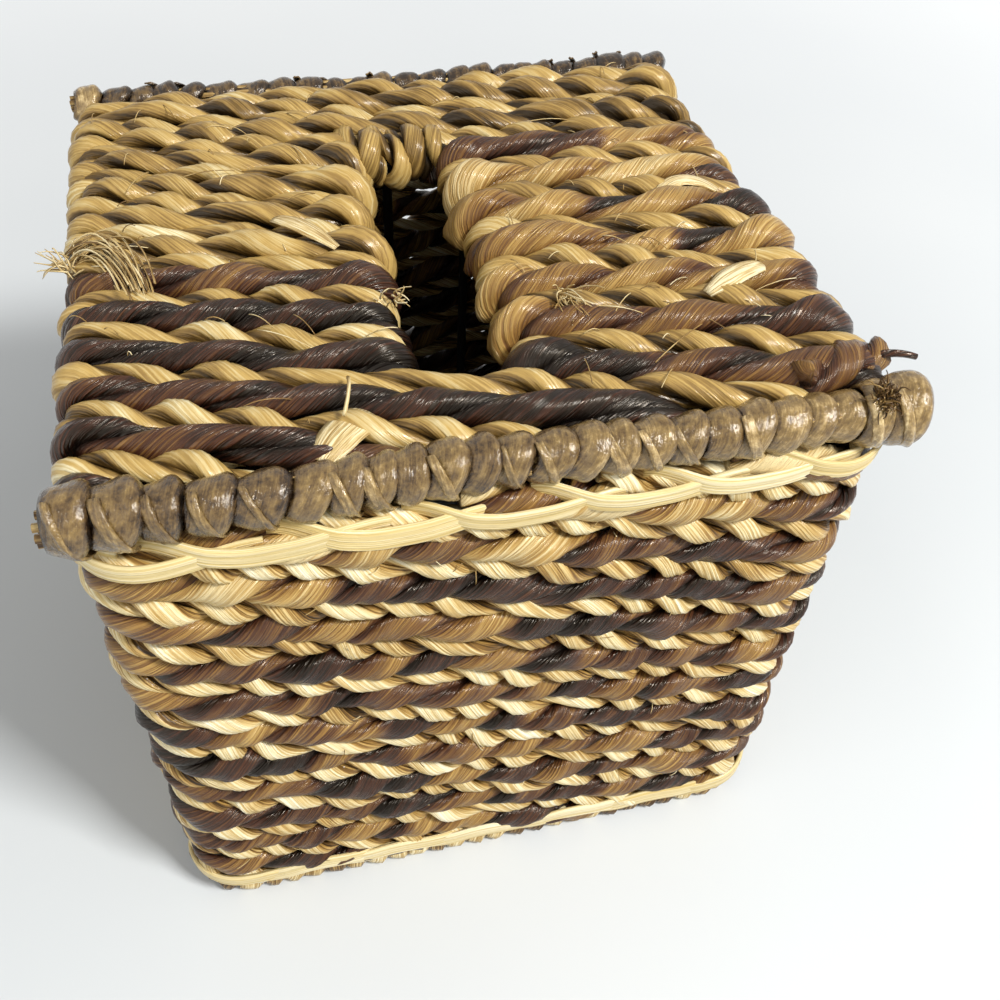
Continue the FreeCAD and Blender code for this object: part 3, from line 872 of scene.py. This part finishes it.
def curve(start, middle, end, count):
    """Points on the smooth curve through three places in mm."""
    share = np.linspace(0, 1, count)[:, None]
    start, middle, end = (np.array(spot, float) for spot in (start, middle, end))
    control = 2 * middle - (start + end) / 2
    return (1 - share) ** 2 * start + 2 * share * (1 - share) * control + share ** 2 * end


def flat_leaf(points, widths, tone, number, curl):
    """An open strip along points, with its edges curled down."""
    out, across = line_frame(points, np.array([0.0, 0.0, 1.0]))
    side = np.linspace(-1, 1, 7)
    widths = np.interp(np.linspace(0, 1, len(points)), np.linspace(0, 1, len(widths)), widths)
    rings = points[:, None] + (widths[:, None] / 2 * side)[..., None] * across[:, None]
    rings = rings - (curl * widths[:, None] * side ** 2)[..., None] * out[:, None]
    return {"rings": rings, "tone": tone, "number": number, "closed": False}


def tuft(rng, place, heading, count, length, spread, tone):
    """Fibres that fan out from one place."""
    threads = []
    heading = np.array(heading, float) / np.linalg.norm(heading)
    for _ in range(count):
        start = np.array(place) + rng.normal(0, 0.8, 3)
        way = heading + rng.normal(0, spread, 3)
        reach = length * rng.uniform(0.5, 1.1)
        end = start + reach * way / np.linalg.norm(way)
        middle = (start + end) / 2 + rng.normal(0, 0.12 * reach, 3) + np.array([0, 0, 0.1 * reach])
        threads.append(thread(curve(start, middle, end, 8), np.linspace(0.22, 0.08, 8), 5,
                              tone + rng.uniform(-0.15, 0.15), rng.random(), up=rng.normal(0, 1, 3)))
    return threads


# %% [markdown]
# Behind the slot, four short ropes loop over the bar and hide it. Each is an arc round the bar, twisted like
# the rows of the top but with a shorter lay, because it turns so tightly.

# %% Loops at the back of the slot
rng = np.random.default_rng(900)
loop_twist = dict(top_grass_twist, lay=24.0)
loop_points = 16
loop_middle = 134.4
loops = []
for x, size, tone in ((-10.5, 3.0, 0.5), (-4.6, 2.5, 0.58), (0.6, 2.9, 0.36), (5.8, 2.4, 0.52)):
    turn = np.linspace(2.7, -0.7, loop_points)
    middle = row_y(slot_row_first - 1, x) + rng.uniform(-1.4, 0.2)
    line = np.c_[x + 2.6 * np.cos(turn), middle - 4.6 * np.cos(turn), loop_middle + 4.2 * np.sin(turn)]
    out = np.c_[np.zeros(loop_points), -np.cos(turn), np.sin(turn)]
    loops += rope_plies(line, out, np.full(loop_points, size), loop_twist, rng, tone, olive_levels)
dress("slot_back_loops", woven_mesh("slot_back_loops", loops), olive_grass, "pale_rope")

# %% [markdown]
# The bow at the left edge is straw that was tied off: threads that follow one curve and spread at its end.
# The tufts are frayed ends, so their threads fan out from one place. A leaf with a pattern of fibres would
# need fewer faces, but its outline would stay smooth.

# %% Tufts and bow
rng = np.random.default_rng(910)
straw = tuft(rng, (-72, -3, 138), (-1, 0.3, 0.5), 26, 5, 0.5, 0.75)
for _ in range(46):
    shift = rng.normal(0, 1.1, 3)
    spread = rng.normal(0, 1.6, 3)
    points = curve(np.array([-71, 0, 138]) + shift, np.array([-64, -3, 141]) + shift + 0.7 * spread,
                  np.array([-59, -16, 138.5]) + spread, 14)
    straw.append(thread(points, 0.2, 5, rng.uniform(0.5, 0.9), rng.random()))
straw += tuft(rng, (19, -30, 140), (0.2, -1, 0.35), 30, 8, 0.3, 0.78)
straw += tuft(rng, (-13, -24, 138.5), (0.6, -0.4, 0.5), 14, 4, 0.5, 0.78)
straw += tuft(rng, (65.5, -70, 140.6), (-0.3, -0.6, 1), 190, 3.4, 0.8, 0.3)
stalk = curve((-24.5, -48, 141), (-25, -53, 142.4), (-26.5, -58, 141.5), 8)
straw.append(thread(stalk, 0.35, 6, 0.8, rng.random()))
dress("loose_fibres", woven_mesh("loose_fibres", straw), cut_fibre, "rim_fibre")

# %% [markdown]
# One thick rope of bark ends at the right edge, and a stick pokes out beside it. The rope is made like the
# others, along a short curve, and the stick is one thread that tapers.

# %% Cut rope ends
rng = np.random.default_rng(920)
stump_twist = dict(top_bark_twist, lay=30.0)
stump = curve((72, -55.5, 138.2), (63, -59, 139), (54, -62.5, 139.6), 16)
stumps = rope_plies(stump, np.array([0.0, 0.0, 1.0]), np.full(16, 3.1), stump_twist, rng, 0.5, dye_levels)
stick = curve((69, -57.5, 139.5), (73, -59, 141), (77, -60.5, 140.8), 8)
stumps.append(thread(stick, np.linspace(0.9, 0.6, 8), 7, 0.2, rng.random()))
dress("cut_rope_ends", woven_mesh("cut_rope_ends", stumps), banana_bark, "dark_rope")

# %% [markdown]
# Four pieces of leaf stick up where they were tucked in. Each is an open strip along a curve with its edges
# curled down, which is how a dry leaf bends. The list holds its curve, its widths and its tone.

# %% Loose leaves
rng = np.random.default_rng(930)
leaf_spots = [
    (((46, -35.5, 141), (53, -32.5, 143), (60, -29, 141.8)), (2.5, 5.2, 5.0, 4.2), 0.86),
    (((49, 1, 140.4), (56, 4.5, 141.8), (63, 1, 140.4)), (2.5, 4.2, 4.2, 2.0), 0.8),
    (((-32, 4, 141), (-27, -2, 142.4), (-21, -8, 140.6)), (3.0, 4.4, 4.0, 1.8), 0.78),
    (((-22, -54.5, 138.6), (-27, -59.5, 140.0), (-31.5, -64.5, 138.4)), (7.5, 7.5, 7.0, 5.0), 0.8),
]
leaves = []
for spots, widths, tone in leaf_spots:
    leaves.append(flat_leaf(curve(*spots, 14), widths, tone, rng.random(), 0.1))
dress("loose_leaves", woven_mesh("loose_leaves", leaves, leaf=0.25), cut_fibre, "rim_fibre")

# %% [markdown]
# Fine fibres stand off all over. They are short threads at random places on the walls and on the top, thin
# enough to show only as fuzz. A hair system would put them on every face, also where none can be seen.

# %% Hairs
rng = np.random.default_rng(940)
hair_radius = 0.11
hairs = []
for _ in range(170):
    distance = np.array([rng.uniform(0, turn_run)])
    point, out = wall_line(distance)
    start = point[0] + 2.2 * out[0]
    start[2] = rng.uniform(8, 126)
    way = rng.normal(0, 1, 3) * (1 - 0.8 * np.abs(out[0])) + 0.3 * out[0]
    end = start + rng.uniform(2.5, 5.5) * way / np.linalg.norm(way)
    middle = (start + end) / 2 + 0.4 * out[0]
    line = curve(start, middle, end, 7)
    hairs.append(thread(line, hair_radius, 4, rng.uniform(0.5, 0.9), rng.random(), up=out[0] + 0.01))
for _ in range(90):
    side = rng.choice([-1, 1])
    start = np.array([-3 + side * rng.uniform(16, 66), rng.uniform(-58, 60), 140.2])
    end = start + np.r_[rng.normal(0, 4, 2), rng.uniform(-0.5, 1.2)]
    middle = (start + end) / 2 + np.array([0, 0, 0.8])
    line = curve(start, middle, end, 7)
    hairs.append(thread(line, hair_radius, 4, rng.uniform(0.5, 0.9), rng.random()))
dress("loose_hairs", woven_mesh("loose_hairs", hairs), cut_fibre, "rim_fibre")

# %% [markdown]
# ## Black wire
# The cage is steel wire under satin black paint. Its CAD shapes are right as they are, so they only get
# a finish: a faint grain in the gloss from dipping, and dust that greys the paint a little.

# %% Wire paint
paint_grain = 1.5


def black_paint():
    """Satin black paint on wire, with a fine grain."""
    material, tree, shader = new_material("satin_black_paint")
    place = add(tree, "ShaderNodeTexCoord").outputs["Object"]
    grain = add(tree, "ShaderNodeTexNoise",
                {"Vector": place, "Scale": 1 / (paint_grain * mm), "Detail": 3.0}).outputs["Fac"]
    colour = add(tree, "ShaderNodeValToRGB", {"Fac": grain},
                 [(0.3, "#0b0a0a"), (0.7, "#1c1a19")]).outputs["Color"]
    rough = add(tree, "ShaderNodeMapRange", {"Value": grain, 3: 0.35, 4: 0.55}).outputs["Result"]
    bump = add(tree, "ShaderNodeBump", {"Height": grain, "Distance": 0.05 * mm}).outputs["Normal"]
    plug(tree, shader, {"Base Color": colour, "Roughness": rough, "Normal": bump})
    return material


wire_paint = black_paint()
wire_nodes = ["base_wire", "top_wire", "corner_posts", "slot_rods", "top_rods", "slot_end_bars",
              "front_stakes", "back_stakes", "left_stakes", "right_stakes"]
for name in wire_nodes:
    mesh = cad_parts[name].data
    mesh.materials.clear()
    mesh.materials.append(wire_paint)
print("painted", len(wire_nodes), "wire nodes")

# %% [markdown]
# ## Floor
# The cover stands on a pale matt floor, one flat square far larger than itself. Far from the cover it turns
# white for the camera only, so that the background is bright and lights nothing.

# %% Floor
floor_half = 3.0


def seen_directly(tree):
    """1 for the rays that show a background: straight from the camera, in gloss or through glass."""
    path = add(tree, "ShaderNodeLightPath").outputs
    rays = add(tree, "ShaderNodeMath", {0: path["Is Camera Ray"], 1: path["Is Glossy Ray"]},
               operation="MAXIMUM").outputs[0]
    return add(tree, "ShaderNodeMath", {0: rays, 1: path["Is Transmission Ray"]},
               operation="MAXIMUM").outputs[0]


def pale_floor():
    """Matt pale floor, barely uneven. Far from the cover it looks white to the camera and lights nothing."""
    material, tree, shader = new_material("pale_matt_floor")
    place = add(tree, "ShaderNodeTexCoord").outputs["Object"]
    cloud = add(tree, "ShaderNodeTexNoise", {"Vector": place, "Scale": 4.0}).outputs["Fac"]
    colour = add(tree, "ShaderNodeValToRGB", {"Fac": cloud},
                 [(0.3, "#cfd3d4"), (0.7, "#d6d9d9")]).outputs["Color"]
    reach = add(tree, "ShaderNodeVectorMath", {0: place}, operation="LENGTH").outputs["Value"]
    far = add(tree, "ShaderNodeMapRange",
              {"Value": reach, 1: 0.15, 2: 0.8, 3: 0.0, 4: 0.55}).outputs["Result"]
    glow = add(tree, "ShaderNodeMath", {0: far, 1: seen_directly(tree)}, operation="MULTIPLY").outputs[0]
    plug(tree, shader, {"Base Color": colour, "Emission Strength": glow,
                        "Emission Color": (1.0, 1.0, 1.0, 1.0), "Roughness": 0.6})
    return material


bm = bmesh.new()
bmesh.ops.create_grid(bm, x_segments=1, y_segments=1, size=floor_half)
floor_mesh = bpy.data.meshes.new("floor")
bm.to_mesh(floor_mesh)
bm.free()
floor_mesh.materials.append(pale_floor())
floor = bpy.data.objects.new("floor", floor_mesh)
scene.collection.objects.link(floor)
print("floor of", 2 * floor_half, "m")

# %% [markdown]
# ## Light
# Soft light comes from all sides, one small bright lamp stands above on the right and a weaker broad one on
# the left. The small lamp gives the crisp glints on the bark. A sky picture would do the same, but it
# couldn't be changed lamp by lamp.

# %% Light
cover_middle = Vector((0, 0, 0.07))
sky_light = 0.42
sky_seen = 0.75


def soft_lamp(name, place, size, power):
    """Square lamp that looks at the middle of the cover."""
    data = bpy.data.lights.new(name, "AREA")
    data.size = size
    data.energy = power
    lamp = bpy.data.objects.new(name, data)
    lamp.location = place
    lamp.rotation_euler = (cover_middle - Vector(place)).to_track_quat("-Z", "Y").to_euler()
    scene.collection.objects.link(lamp)
    print(name, "of", power, "W")


soft_lamp("key_lamp", (0.42, -0.5, 0.85), 0.2, 11.5)
soft_lamp("fill_lamp", (-0.7, -0.4, 0.5), 0.8, 2.0)

world = bpy.data.worlds.new("studio")
scene.world = world
world.use_nodes = True
sky = world.node_tree
strength = add(sky, "ShaderNodeMapRange",
               {"Value": seen_directly(sky), 3: sky_light, 4: sky_seen}).outputs["Result"]
plug(sky, sky.nodes["Background"], {"Strength": strength, "Color": (1.0, 1.0, 1.0, 1.0)})
scene.view_settings.view_transform = "Standard"

# %% [markdown]
# ## Camera
# The camera stands where the photograph was taken from: above the front, close by. Its place, its turns and
# its lens come from fitting the cover's corners to the picture.

# %% Camera
camera_place = Vector((-36.8, -183.9, 255.7)) * mm
pan = Euler((0, 0, math.radians(-16.7))).to_matrix()
tilt = Euler((math.radians(43.2), 0, 0)).to_matrix()
roll = Euler((0, 0, math.radians(4.1))).to_matrix()
camera_turn = pan @ tilt @ roll
camera_data = bpy.data.cameras.new("camera")
camera_data.sensor_width = 36.0
camera_data.lens = 37.1
camera_data.clip_start = 0.01
camera = bpy.data.objects.new("camera", camera_data)
camera.location = camera_place
camera.rotation_euler = camera_turn.to_euler()
scene.collection.objects.link(camera)
scene.camera = camera
print("camera", round((camera_place - cover_middle).length, 3), "m from the middle of the cover")
